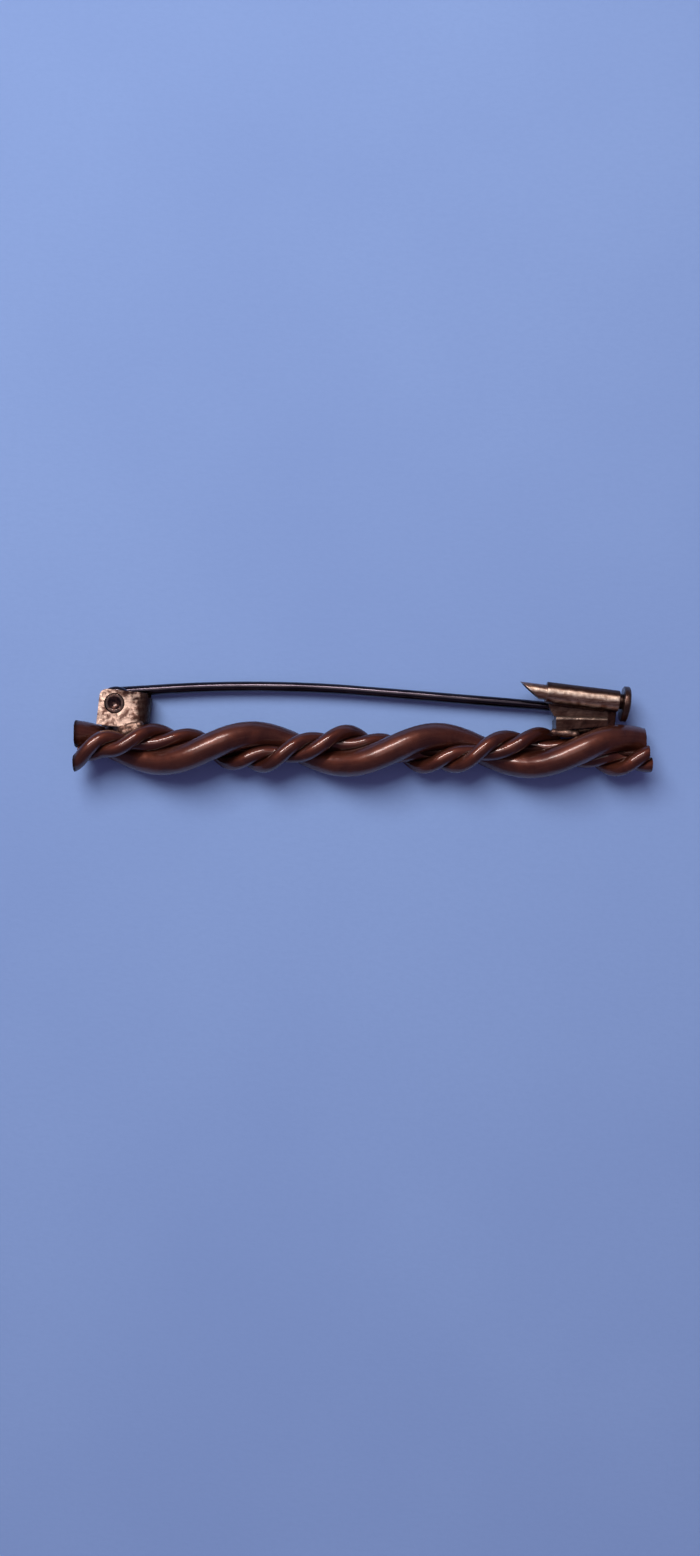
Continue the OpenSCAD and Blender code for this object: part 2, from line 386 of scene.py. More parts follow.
def mark_edges(mesh, strength):
    """'edge' is 1 on a convex edge, 0.5 on the flat and 0 in a hollow."""
    co, no = coordinates(mesh), normals(mesh)
    pairs = np.zeros(len(mesh.edges) * 2, int)
    mesh.edges.foreach_get("vertices", pairs)
    a, b = pairs.reshape(-1, 2).T
    count = np.bincount(np.concatenate([a, b]), minlength=len(co)).clip(1)[:, None]

    def neighbours(values):
        total = np.zeros_like(values)
        np.add.at(total, a, values[b])
        np.add.at(total, b, values[a])
        return total / count

    bend = ((co - neighbours(co)) * no).sum(1)[:, None]
    for _ in range(3):
        bend = 0.5 * bend + 0.5 * neighbours(bend)
    mark(mesh, "edge", 0.5 + strength * bend[:, 0])


def piece(name, mesh, body, nodes, material, sharp=35):
    """Puts a finished mesh in the row frame, to ride on a body and stand for CAD nodes."""
    mesh.name = name
    mesh.transform(TO_ROW)
    mesh.polygons.foreach_set("use_smooth", [True] * len(mesh.polygons))
    mesh.set_sharp_from_angle(angle=math.radians(sharp))
    mesh.materials.clear()
    mesh.materials.append(material)
    obj = linked(name, mesh)
    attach(obj, body)
    if nodes:
        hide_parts(*nodes)
    return obj


# ---------------------------------------------------------------- material helpers
class Nodes:
    """Short names for making a material's nodes."""

    def __init__(self, name):
        self.material = bpy.data.materials.new(name)
        self.material.use_nodes = True
        self.tree = self.material.node_tree
        self.tree.nodes.clear()
        self.out = self.tree.nodes.new("ShaderNodeOutputMaterial")
        self.shader = self.tree.nodes.new("ShaderNodeBsdfPrincipled")
        self.tree.links.new(self.shader.outputs[0], self.out.inputs[0])
        self.coord = self.tree.nodes.new("ShaderNodeTexCoord").outputs["Object"]

    def put(self, socket, value):
        if isinstance(value, bpy.types.NodeSocket):
            self.tree.links.new(value, socket)
        elif isinstance(value, (tuple, list)) and len(value) == 3 and socket.type == "RGBA":
            socket.default_value = (*value, 1)
        else:
            socket.default_value = value

    def node(self, kind, inputs, output=0, **settings):
        n = self.tree.nodes.new(kind)
        for key, value in settings.items():
            setattr(n, key, value)
        for key, value in inputs.items():
            self.put(n.inputs[key], value)
        return n.outputs[output]

    def scaled(self, vector, scale):
        return self.node("ShaderNodeVectorMath", {0: vector, 1: scale}, operation="MULTIPLY")

    def per_mm(self, x, y=None, z=None):
        y, z = x if y is None else y, x if z is None else z
        return self.scaled(self.coord, (x / MM, y / MM, z / MM))

    def attribute(self, name, output="Fac"):
        return self.node("ShaderNodeAttribute", {}, output, attribute_name=name)

    def noise(self, vector, scale=1.0, detail=4.0, rough=0.55, warp=0.0):
        return self.node("ShaderNodeTexNoise", {"Vector": vector, "Scale": scale, "Detail": detail,
                                                "Roughness": rough, "Distortion": warp})

    def step(self, value, low, high, to_low=0.0, to_high=1.0):
        return self.node("ShaderNodeMapRange", {"Value": value, "From Min": low, "From Max": high,
                                                "To Min": to_low, "To Max": to_high},
                         interpolation_type="SMOOTHSTEP")

    def times(self, a, b):
        return self.node("ShaderNodeMath", {0: a, 1: b}, operation="MULTIPLY")

    def plus(self, a, b):
        return self.node("ShaderNodeMath", {0: a, 1: b}, operation="ADD")

    def mix(self, share, a, b):
        n = self.tree.nodes.new("ShaderNodeMix")
        n.data_type = "RGBA"
        sockets = [s for s in n.inputs if s.enabled]
        self.put(sockets[0], share)
        self.put(sockets[1], a)
        self.put(sockets[2], b)
        return [s for s in n.outputs if s.enabled][0]

    def bump(self, layers):
        """Bumps laid over one another, given as (height, depth in mm) pairs."""
        normal = None
        for height, depth in layers:
            n = self.tree.nodes.new("ShaderNodeBump")
            n.inputs["Strength"].default_value = 1.0
            n.inputs["Distance"].default_value = depth * MM
            self.put(n.inputs["Height"], height)
            if normal is not None:
                self.put(n.inputs["Normal"], normal)
            normal = n.outputs[0]
        self.put(self.shader.inputs["Normal"], normal)

    def finish(self, **values):
        for key, value in values.items():
            self.put(self.shader.inputs[key.replace("_", " ")], value)
        return self.material


# ---------------------------------------------------------------- materials
# The near-black colour that painted shade is mixed towards
SHADE_DARK = (0.030, 0.012, 0.010)


def copper_wire():
    """Toned reddish-brown copper, worn on the outside; painted shade where strands meet and at the
    left end.
    """
    n = Nodes("copper_wire")
    deep, warm, drawn_bright = (0.078, 0.019, 0.011), (0.130, 0.034, 0.017), (0.155, 0.060, 0.038)
    sooty, worn, shade_between_strands = (0.034, 0.012, 0.009), (0.145, 0.050, 0.030), (0.016, 0.004, 0.003)
    lay = n.attribute("lay", "Vector")
    drawn = n.noise(n.scaled(lay, (0.22, 7.0, 7.0)), detail=5.0, rough=0.6)
    tone = n.noise(n.per_mm(0.42), detail=3.0, warp=0.6)
    speck = n.noise(n.per_mm(4.5), detail=5.0, rough=0.65)
    painted_shade = n.attribute("painted_shade")
    rubbed_and_sheen = n.attribute("rubbed_and_sheen")
    colour = n.mix(n.step(tone, 0.36, 0.66), deep, warm)
    colour = n.mix(n.times(n.step(drawn, 0.42, 0.72), 0.30), colour, drawn_bright)
    colour = n.mix(n.times(n.step(speck, 0.55, 0.74), 0.45), colour, sooty)
    colour = n.mix(n.times(rubbed_and_sheen, 0.25), colour, worn)
    # Painted shade beside the other strands and at the bar's left end
    colour = n.mix(n.times(n.step(painted_shade, 0.45, 1.0), 0.85), colour, shade_between_strands)
    rough = n.plus(n.step(speck, 0.3, 0.75, 0.46, 0.60), n.times(painted_shade, 0.14))
    n.bump([(drawn, 0.006), (speck, 0.006), (tone, 0.03)])
    return n.finish(Base_Color=colour, Metallic=0.74, Roughness=rough, Specular_IOR_Level=0.15,
                    Coat_Weight=n.step(painted_shade, 0.75, 1.0, 1.0, 0.10),
                    Coat_Roughness=n.step(n.attribute("thick"), 0.0, 1.0, 0.12, 0.22))


def worn_copper():
    """The hinge strip: pale where its tone has worn off, pitted and stained in between."""
    n = Nodes("worn_copper")
    bare, stained = (1.0, 0.74, 0.58), (0.19, 0.090, 0.066)
    pitted, polished = (0.18, 0.09, 0.065), (0.90, 0.73, 0.60)
    blotch = n.noise(n.per_mm(0.62), detail=5.0, rough=0.6, warp=0.7)
    pits = n.noise(n.per_mm(1.9), detail=6.0, rough=0.64)
    grain = n.noise(n.per_mm(14.0), detail=3.0)
    edge = n.attribute("edge")
    stain = n.times(n.step(blotch, 0.40, 0.56), n.step(pits, 0.34, 0.58))
    colour = n.mix(stain, bare, stained)
    colour = n.mix(n.times(n.step(pits, 0.52, 0.63), 0.8), colour, pitted)
    colour = n.mix(n.step(edge, 0.52, 0.75), colour, polished)
    # Painted shade where 'shade' is 1
    colour = n.mix(n.attribute("shade"), colour, SHADE_DARK)
    rough = n.plus(n.step(pits, 0.3, 0.7, 0.40, 0.62), n.times(grain, 0.06))
    n.bump([(blotch, 0.10), (pits, 0.10), (grain, 0.008)])
    return n.finish(Base_Color=colour, Metallic=0.60, Roughness=rough, Specular_IOR_Level=0.12)


def dark_rivet():
    """A nearly black rivet, browner in patches and paler on its rims."""
    n = Nodes("dark_rivet")
    black, brown, worn = (0.030, 0.014, 0.011), (0.12, 0.055, 0.040), (0.25, 0.13, 0.10)
    pits = n.noise(n.per_mm(2.6), detail=6.0, rough=0.7)
    grain = n.noise(n.per_mm(12.0), detail=3.0)
    colour = n.mix(n.step(pits, 0.40, 0.66), black, brown)
    colour = n.mix(n.step(n.attribute("edge"), 0.56, 0.8), colour, worn)
    n.bump([(pits, 0.018), (grain, 0.003)])
    rough = n.step(pits, 0.3, 0.7, 0.24, 0.40)
    return n.finish(Base_Color=colour, Metallic=0.9, Roughness=rough, Coat_Weight=0.8,
                    Coat_Roughness=0.12)


def solder_metal():
    """Toned solder: lumpy, brownish grey, with darker spots."""
    n = Nodes("solder_metal")
    grey, brown, spotted = (0.27, 0.185, 0.145), (0.12, 0.068, 0.052), (0.20, 0.11, 0.08)
    lumps = n.noise(n.per_mm(1.6), detail=4.0, warp=0.4)
    grain = n.noise(n.per_mm(9.0), detail=4.0, rough=0.65)
    colour = n.mix(n.step(lumps, 0.38, 0.64), grey, brown)
    colour = n.mix(n.times(n.step(grain, 0.56, 0.72), 0.6), colour, spotted)
    n.bump([(lumps, 0.06), (grain, 0.010)])
    rough = n.step(grain, 0.3, 0.7, 0.36, 0.55)
    return n.finish(Base_Color=colour, Metallic=0.95, Roughness=rough)


def pin_steel():
    """Dark blued steel wire, drawn lengthwise, with a few brown spots."""
    n = Nodes("pin_steel")
    dark, pale = (0.036, 0.030, 0.040), (0.066, 0.057, 0.071)
    drawn_grey, rust = (0.10, 0.090, 0.104), (0.07, 0.040, 0.030)
    lay = n.attribute("lay", "Vector")
    drawn = n.noise(n.scaled(lay, (0.12, 9.0, 9.0)), detail=5.0, rough=0.6)
    tone = n.noise(n.per_mm(0.35), detail=3.0)
    spots = n.noise(n.per_mm(2.4), detail=5.0, rough=0.7)
    colour = n.mix(n.step(tone, 0.35, 0.65), dark, pale)
    colour = n.mix(n.times(n.step(drawn, 0.45, 0.7), 0.4), colour, drawn_grey)
    colour = n.mix(n.times(n.step(spots, 0.60, 0.72), 0.7), colour, rust)
    n.bump([(drawn, 0.0012), (spots, 0.0015)])
    rough = n.step(spots, 0.35, 0.75, 0.17, 0.26)
    return n.finish(Base_Color=colour, Metallic=1.0, Roughness=rough)


def catch_metal(name, dark):
    """Golden-brown metal darkened by 'dark': painted highlight at 'glow', painted shade at 'shade'.
    """
    n = Nodes(name)
    golden, brown, drawn_bright = (0.36, 0.21, 0.14), (0.15, 0.070, 0.046), (0.72, 0.54, 0.40)
    spotted, darkened_colour = (0.12, 0.062, 0.042), (0.052, 0.023, 0.018)
    rubbed_and_sheen, worn = (0.93, 0.78, 0.62), (0.55, 0.40, 0.31)
    tone = n.noise(n.per_mm(0.55, 1.0, 1.0), detail=4.0, warp=0.5)
    drawn = n.noise(n.per_mm(0.8, 9.0, 9.0), detail=5.0, rough=0.6)
    speck = n.noise(n.per_mm(5.0), detail=5.0, rough=0.7)
    edge = n.attribute("edge")
    colour = n.mix(n.step(tone, 0.36, 0.66), golden, brown)
    colour = n.mix(n.times(n.step(drawn, 0.45, 0.7), 0.4), colour, drawn_bright)
    colour = n.mix(n.times(n.step(speck, 0.54, 0.68), 0.65), colour, spotted)
    # Darkened by 'dark', which stands partly for tone and partly for painted shade
    colour = n.mix(dark, colour, darkened_colour)
    # Painted highlight where 'glow' is 1; further down, painted shade where 'shade' is 1
    colour = n.mix(n.attribute("glow"), colour, rubbed_and_sheen)
    colour = n.mix(n.times(n.step(edge, 0.54, 0.78), 0.55), colour, worn)
    colour = n.mix(n.attribute("shade"), colour, SHADE_DARK)
    n.bump([(tone, 0.03), (drawn, 0.006), (speck, 0.010)])
    rough = n.step(speck, 0.3, 0.75, 0.26, 0.44)
    shine = n.step(n.attribute("shade"), 0.0, 1.0, 0.5, 0.0)
    return n.finish(Base_Color=colour, Metallic=0.85, Roughness=rough, Specular_IOR_Level=0.15,
                    Coat_Weight=shine, Coat_Roughness=0.16)


def pale_paper():
    """Pale blue-lavender paper with a faint fibre."""
    n = Nodes("pale_paper")
    shaded, lit, fleck = (0.305, 0.45, 0.83), (0.33, 0.485, 0.87), (0.275, 0.415, 0.79)
    fibre = n.noise(n.per_mm(1.3, 2.1, 1.0), detail=6.0, rough=0.65)
    cloud = n.noise(n.per_mm(0.02), detail=3.0)
    colour = n.mix(n.step(cloud, 0.3, 0.7), shaded, lit)
    colour = n.mix(n.times(n.step(fibre, 0.35, 0.7), 0.2), colour, fleck)
    n.bump([(fibre, 0.02)])
    return n.finish(Base_Color=colour, Roughness=0.85, Specular_IOR_Level=0.25)


# ---------------------------------------------------------------- the bar
def turn(x):
    """The thick wire's angle round the bar's axis."""
    return 2 * math.pi * (x - CREST) / PITCH


def fine_turn(x, number):
    """The fine wires' angle about their cord: it drifts to and fro along the bar."""
    drift = DRIFT * np.sin(2 * math.pi * (x - FINE_CREST) / PITCH + DRIFT_START)
    return 2 * math.pi * ((x - FINE_CREST) / FINE_PITCH + number / 2) + drift


def ride_up(x):
    """1 where the cord rides up on the thick wire, 0 elsewhere."""
    return np.exp(-((x - LEFT - RIDE_AT) / RIDE_WIDTH) ** 2)


def main_path(x):
    return np.stack([x, MAIN_R * np.cos(turn(x)), -MAIN_R * np.sin(turn(x))], 1)


def cord_path(x):
    a, r = turn(x) + RIDE_TURN * ride_up(x), CORD_OFFSET + RIDE_OUT * ride_up(x)
    return np.stack([x, -r * np.cos(a), r * np.sin(a)], 1)


def fine_path(x, number):
    a = fine_turn(x, number)
    tangent = unit(cord_path(x + 0.01) - cord_path(x - 0.01))
    up = unit(np.array([0.0, 1.0, 0.0]) - tangent[:, 1:2] * tangent)
    far = np.cross(up, tangent)
    return cord_path(x) + FINE_OFFSET * (np.cos(a)[:, None] * up + np.sin(a)[:, None] * far)


def centre_lines():
    """Each wire's centre line and radius, by which mark_wire finds its neighbours."""
    x = np.arange(LEFT, RIGHT, 0.06)
    lines = {"main": (main_path(x), MAIN_R)}
    for number in (1, 2):
        lines[number] = (fine_path(x, number), FINE_R)
    return lines


def mark_wire(mesh, own, lines):
    """Marks painted shade by other strands and at the bar's left end, wear outside, and the thick
    wire."""
    close, end_mark, end_fade = 0.55, 0.9, 0.8
    rub_from, rub_over = 2.15, 0.45
    tree = kdtree.KDTree(sum(len(p) for key, (p, _) in lines.items() if key != own))
    reach = []
    for key, (points, radius) in lines.items():
        if key != own:
            for p in points:
                tree.insert(Vector(p), len(reach))
                reach.append(radius)
    tree.balance()
    co = coordinates(mesh)
    gap = np.array([d - reach[i] for _, i, d in (tree.find(Vector(p)) for p in co)])
    left_end = ramp(LEFT + end_mark - co[:, 0], 0, end_fade)
    mark(mesh, "painted_shade", np.maximum(1 - gap / close, left_end))
    mark(mesh, "thick", np.full(len(co), float(own == "main")))
    mark(mesh, "rubbed_and_sheen", (np.hypot(co[:, 1], co[:, 2]) - rub_from) / rub_over)


def strand(name, path, radius, sides, step, ends, node, own, lines, material):
    """One wire of the bar: slightly uneven, its ends cut off and rounded at the rim."""
    (low, low_edge), (high, high_edge) = ends
    x = np.arange(low - 3 * step, high + 3 * step, step)
    seed = 3 if own == "main" else 4 + own
    radii = radius * (1 + 0.008 * wobble([(v, 0, 0) for v in x], 0.9, seed))
    mesh = swept(name, path(x), radii, sides)
    moved_out(mesh, 0.006 * radius * wobble(coordinates(mesh), 1.7, seed) / 0.6)
    cut(mesh, (low, 0, 0), (-1, 0, 0), low_edge)
    cut(mesh, (high, 0, 0), (1, 0, 0), high_edge)
    mark_wire(mesh, own, lines)
    return piece(name, mesh, "root", [node], material)


def strand_shade_filler(material):
    """A dark filler in the hollow between the thick wire and the fine ones: painted shade."""
    radius, share_out = 0.42, 0.18
    x = np.arange(LEFT + 0.4, MAIN_RIGHT - 0.2, 0.2)
    points = cord_path(x) * np.array([1.0, share_out, share_out])
    mesh = swept("shade_filler", points, np.full(len(x), radius), 20)
    mark(mesh, "painted_shade", np.ones(len(mesh.vertices)))
    mark(mesh, "rubbed_and_sheen", np.zeros(len(mesh.vertices)))
    return piece("strand_shade_filler", mesh, "root", [], material)


def bar():
    material = copper_wire()
    lines = centre_lines()
    strand_shade_filler(material)
    strand("strand_thick", main_path, MAIN_R, 56, 0.16, ((LEFT, 0.10), (MAIN_RIGHT, 0.14)),
           "main_strand", "main", lines, material)
    for number in (1, 2):
        start, end = LEFT + 0.3 * (2 - number), RIGHT - 0.3 * (number - 1)
        strand("strand_fine_%d" % number, lambda x, k=number: fine_path(x, k), FINE_R, 32, 0.11,
               ((start, 0.08), (end, 0.22)), "fine_strand_%d" % number, number, lines, material)


# ---------------------------------------------------------------- the hinge
AT_HINGE = Matrix.Translation((RIVET[0], RIVET[1], 0)) @ Matrix.Rotation(STRIP_TURN, 4, "Z")


def ear_outline():
    """The strip's face, with a round corner at its top left and its bottom right cut away."""
    right = STRIP_RIGHT + 1
    corners = [(STRIP_LEFT, STRIP_LOW), (1.9, STRIP_LOW), (2.6, -1.74), (right, -0.95),
               (right, STRIP_TOP)]
    round_r = 0.75
    arc = [(STRIP_LEFT + round_r * (1 - math.sin(a)), STRIP_TOP - round_r * (1 - math.cos(a)))
           for a in np.linspace(0, math.pi / 2, 12)]
    return corners + arc


def fold_outline():
    """The strip's section across its fold, as an outline in X and Z."""
    outer, inner = [], []
    bend_x = STRIP_RIGHT - BEND_R
    quarter = np.linspace(0, math.pi / 2, 10)
    for ring, inset in ((outer, 0.0), (inner, STRIP_T)):
        r = BEND_R - inset
        ring.append((STRIP_LEFT - 1, FAR_Z + inset))
        ring += [(bend_x + r * math.sin(a), FAR_Z + BEND_R - r * math.cos(a)) for a in quarter]
        ring += [(bend_x + r * math.cos(a), NEAR_Z - BEND_R + r * math.sin(a)) for a in quarter]
        ring.append((STRIP_LEFT - 1, NEAR_Z - inset))
    return outer + inner[::-1]


def hinge_strip():
    """The folded strip: painted shade round its fold and inside it, pitted and stained on its face.
    """
    section = prism("section", fold_outline(), STRIP_LOW - 1, STRIP_TOP + 1)
    swap_y_and_z = Matrix(((1, 0, 0, 0), (0, 0, 1, 0), (0, 1, 0, 0), (0, 0, 0, 1)))
    section.transform(swap_y_and_z)
    tidied(section)
    face = prism("face", ear_outline(), FAR_Z - 1, NEAR_Z + 1)
    mesh = combined(section, face, "INTERSECT")
    head = rod("head", HEAD_R + 0.03, NEAR_Z - STRIP_T - 0.3, NEAR_Z + 1, 64)
    shank = rod("shank", SHANK_R + 0.02, FAR_Z - 1, FAR_Z + STRIP_T + 0.3, 48)
    low, high = (STRIP_RIGHT - BEND_R, WEB_TOP), (STRIP_RIGHT + 1, STRIP_TOP + 1)
    notch = prism("notch", rectangle(low, high), FAR_Z + STRIP_T, NEAR_Z - STRIP_T)
    mesh = weathered(without(mesh, [head, shank, notch]), 0.045, 3)
    co = coordinates(mesh)
    pits = wobble(co, 2.3, 1)
    moved_out(mesh, -0.012 + 0.014 * wobble(co, 0.9, 2) - 0.030 * np.clip(pits - 0.18, 0, 1) / 0.5)
    mark_edges(mesh, 26.0)
    co = coordinates(mesh)
    ragged = 0.16 * wobble(co, 1.6, 8)
    bend = ramp(co[:, 0] + 2 * ragged, STRIP_RIGHT - 1.35, 0.45)
    skin = 0.3
    between = (co[:, 2] < NEAR_Z - skin) * (co[:, 2] > FAR_Z + skin)
    inside = between * (co[:, 0] < STRIP_RIGHT - skin)
    corner = ramp(co[:, 0] + 1.2 * co[:, 1], 1.0, 1.4)
    mottled = 0.55 + 1.1 * wobble(co, 2.1, 9)
    # Painted shade round the fold and between the ears; the upper right is also darker, in mottled
    # patches
    mark(mesh, "shade", np.maximum(0.96 * bend + 0.7 * inside, corner * mottled))
    mesh.transform(AT_HINGE)
    return piece("hinge_strip", mesh, "root", ["hinge_bracket"], worn_copper())


def rivet():
    """The sunk head, cupped in the middle, over a shank through the coil to the far ear."""
    top, under = NEAR_Z - 0.08, NEAR_Z - STRIP_T + 0.01
    rim_r, cup_r, cup_depth = HEAD_R - 0.02, 0.64, 0.25
    cup = [(r, top - cup_depth * math.cos(math.pi / 2 * r / cup_r))
           for r in np.linspace(0.0, cup_r - 0.02, 9)]
    side = [(cup_r + 0.02, top), (rim_r, top), (rim_r, under), (SHANK_R, under),
            (SHANK_R, FAR_Z + 0.03)]
    end = [(0.55, FAR_Z + 0.01), (0, FAR_Z + 0.01)]
    mesh = lathe("rivet", cup + rounded(side, 0.06, closed=False) + end, 72, False)
    mesh = refined(mesh)
    co = coordinates(mesh)
    moved_out(mesh, 0.008 * wobble(co, 3.4, 5) * (co[:, 2] > top - 0.3))
    mark_edges(mesh, 10.0)
    mesh.transform(AT_HINGE)
    return piece("hinge_rivet_head", mesh, "root", ["hinge_rivet"], dark_rivet())


def lumps(name, balls, nodes, material, seed):
    """Solder that has run together: overlapping balls under one smooth skin."""
    mesh = weathered(joined(name, [ball(name, centre, size) for centre, size in balls]), 0.05, 24)
    co = coordinates(mesh)
    moved_out(mesh, 0.05 + 0.04 * wobble(co, 1.3, seed) + 0.010 * wobble(co, 4.0, seed + 1))
    mark_edges(mesh, 20.0)
    return piece(name, mesh, "root", nodes, material)


def run_of_balls(start, end, size, count, seed):
    """Balls of about one size from start to end, overlapping well."""
    start, end, size = np.array(start), np.array(end), np.array(size)
    out = []
    for t in np.linspace(0, 1, 3 * count):
        grown = 1 + 0.35 * noise.noise(Vector((t * 2.6 + seed, seed, 0)))
        out.append((tuple(start + (end - start) * t), tuple(size * grown)))
    return out


def hinge_solder(material):
    """Beads where the strip's near and far ears meet the strands."""
    near = run_of_balls((-23.0, 1.78, 0.40), (-21.35, 2.12, 0.48), (0.42, 0.42, 0.36), 5, 1)
    near += run_of_balls((-22.7, 1.45, 0.50), (-21.7, 1.65, 0.62), (0.36, 0.34, 0.32), 3, 2)
    far = run_of_balls((-24.4, 1.5, -0.9), (-22.6, 1.6, -1.2), (0.5, 0.5, 0.6), 5, 7)
    far += run_of_balls((-22.9, 1.6, -2.0), (-21.2, 1.55, -1.9), (0.5, 0.4, 0.38), 4, 3)
    return lumps("hinge_solder_bead", near + far, ["hinge_solder"], material, 11)


# ---------------------------------------------------------------- the pin
def pin_path():
    """The pin's centre line from the coil's loose end to the point, with its radius."""
    rise, fall = PIN_RISE, PIN_FALL
    turns = COIL_TURNS * np.linspace(1, 0, COIL_POINTS)
    a = math.pi / 2 + rise + 2 * math.pi * turns
    coil = np.stack([RIVET[0] + COIL_R * np.cos(a), RIVET[1] + COIL_R * np.sin(a),
                     PIN_Z + COIL_PITCH * turns], 1)
    start = np.array([RIVET[0] - COIL_R * math.sin(rise), RIVET[1] + COIL_R * math.cos(rise),
                      PIN_Z])
    ahead = np.array([math.cos(rise), math.sin(rise), 0.0])
    down = np.array([math.cos(fall), -math.sin(fall), 0.0])
    length = (BEND_X - start[0]) / math.cos(rise)
    first = start + np.outer(np.arange(0.2, length, 0.2), ahead)
    centre = start + length * ahead + BOW_R * np.array([math.sin(rise), -math.cos(rise), 0.0])
    b = np.linspace(-rise, fall, 90)
    bow = centre + BOW_R * np.stack([np.sin(b), np.cos(b), np.zeros_like(b)], 1)
    s = np.concatenate([np.arange(0.25, SHANK, 0.25), SHANK + POINT * np.linspace(0, 1, 40) ** 0.8])
    last = bow[-1] + np.outer(s, down)
    points = np.concatenate([coil, first, bow, last])
    bow_radii = np.linspace(PIN_R, STEM_R, len(bow)) - PIN_SLACK
    taper = np.interp(s, [0, STRAIGHT, SHANK, SHANK + 0.35 * POINT, SHANK + POINT],
                      [STEM_R - PIN_SLACK, STEM_R - PIN_SLACK, STEM_R - 0.04, STEM_R - 0.13, TIP_R])
    before = np.full(len(coil) + len(first), PIN_R - PIN_SLACK)
    return points, np.concatenate([before, bow_radii, taper])


def pin():
    """The pin, its line eased where it leaves the coil and the coil's cut end rounded."""
    points, radii = pin_path()
    ease = np.ones(5) / 5
    leaving = slice(COIL_POINTS - 6, COIL_POINTS + 8)
    for axis in range(3):
        points[leaving, axis] = np.convolve(points[:, axis], ease, "same")[leaving]
    radii = radii + 0.004 * wobble([(p[0], 0, 0) for p in points], 0.5, 9) * (radii > 0.3)
    radii[:4] *= (0.72, 0.88, 0.96, 0.99)
    mesh = swept("pin_wire", points, radii, 36)
    return piece("pin_wire", mesh, "pin", ["pin_coil", "pin_stem"], pin_steel())


# ---------------------------------------------------------------- the catch
def tube_start():
    """The fixed tube's left end: its own box gives the middle of its axis."""
    lo, hi = box_mm("catch_tube")
    middle = (lo + hi) / 2
    back = np.array([math.cos(TILT), -math.sin(TILT), 0.0]) * TUBE_LENGTH / 2
    return middle - back


def along_tube():
    """Turns +Z into the tube's direction, with +Y up from the bar."""
    lying = Matrix.Rotation(math.radians(90), 4, "Y")
    return Matrix.Translation(Vector(tube_start())) @ Matrix.Rotation(-TILT, 4, "Z") @ lying


def catch_block(material):
    """The foot on the strands, lower behind the wall, with a painted highlight along its near top
    edge.
    """
    lo, hi = box_mm("catch_block")
    left, right, top = lo[0], hi[0], hi[1]
    edge, slope = 0.30, 0.12
    outline = rounded([(left, 1.9), (right, 2.35), (right, top - slope), (left, top)], 0.06)
    mesh = prism("block", outline, lo[2], hi[2])
    step = rectangle((left - 1, top - 0.35), (right + 1, top + 1))
    behind = prism("behind", step, lo[2] - 1, box_mm("catch_wall")[0][2])
    mesh = weathered(without(mesh, [behind]), 0.06, 5)
    co = coordinates(mesh)
    front = ramp(co[:, 2], hi[2] - edge, edge)
    upper = ramp(co[:, 1], top - slope - edge, edge)
    # Painted highlight along the near top edge
    mark(mesh, "glow", 0.14 * np.clip(2 * front * upper, 0, 1))
    co[:, 1] -= 0.22 * front ** 2 * upper
    co = coordinates(moved_to(mesh, co))
    moved_out(mesh, -0.01 + 0.02 * wobble(co, 1.3, 21) + 0.008 * wobble(co, 4.5, 22))
    mark_edges(mesh, 16.0)
    co = coordinates(mesh)
    # Painted shade below the top edge, with a mottled darkening all over
    mark(mesh, "shade", 0.7 * (co[:, 1] < top - 0.42) + 0.2 * (wobble(co, 1.1, 23) + 0.4))
    return piece("catch_block_body", mesh, "root", ["catch_block"], material)


def catch_wall(material):
    """The wall that carries the tube: past the block's end it reaches down to the strands."""
    lo, hi = box_mm("catch_wall")
    block_lo, block_hi = box_mm("catch_block")
    left, right, top = block_lo[0], block_hi[0], block_hi[1]
    foot = 2.42
    outline = [(left, top - 0.05), (right, top - 0.17), (right + 0.02, foot), (hi[0] - 0.2, foot),
               (hi[0], 4.5), (left - 0.5, 5.3), (left - 0.5, 4.2)]
    mesh = weathered(prism("wall", rounded(outline, 0.08), lo[2], hi[2]), 0.05, 4)
    co = coordinates(mesh)
    moved_out(mesh, 0.012 * wobble(co, 1.6, 31) + 0.006 * wobble(co, 5.0, 32))
    mark_edges(mesh, 16.0)
    co = coordinates(mesh)
    past_block = ramp(co[:, 0], right, 0.3)
    # Painted shade: mottled all over, and near black past the block's end
    mark(mesh, "shade", np.maximum(0.50 + 0.3 * wobble(co, 1.3, 33), past_block))
    return piece("catch_wall_plate", mesh, "root", ["catch_wall"], material)


def from_axis(co):
    """Each point's distance from the tube's axis."""
    return np.hypot(co[:, 0], co[:, 1])


def band(angle, middle, half_width):
    """1 within the band and 0 well outside it."""
    return np.exp(-((angle - middle) / half_width) ** 4)


def mark_band(mesh, bore):
    """Painted highlight on the near side in patches and a lower band; painted shade on top, under
    and in the bore.
    """
    co = coordinates(mesh)
    # Degrees round the tube: 0 on the near side, 90 at the top
    round_it = np.degrees(np.arctan2(co[:, 1], -co[:, 0])) + 8 * wobble(co, 1.1, 43)
    patches = np.clip(0.62 + 1.0 * wobble(co, 3.0, 44), 0, 1)
    low_patches = np.clip(0.35 + 2.0 * wobble(co, 1.5, 45), 0, 1)
    bright, low_bright = band(round_it, 7, 13) * patches, band(round_it, -44, 15) * low_patches
    mark(mesh, "glow", np.maximum(0.85 * bright, 0.6 * low_bright))
    top, under = 0.85 * ramp(round_it, 18, 12), 0.55 * ramp(-round_it, 60, 10)
    inside = 0.8 * (from_axis(co) < bore)
    mark(mesh, "shade", np.maximum(np.maximum(top, under), inside))


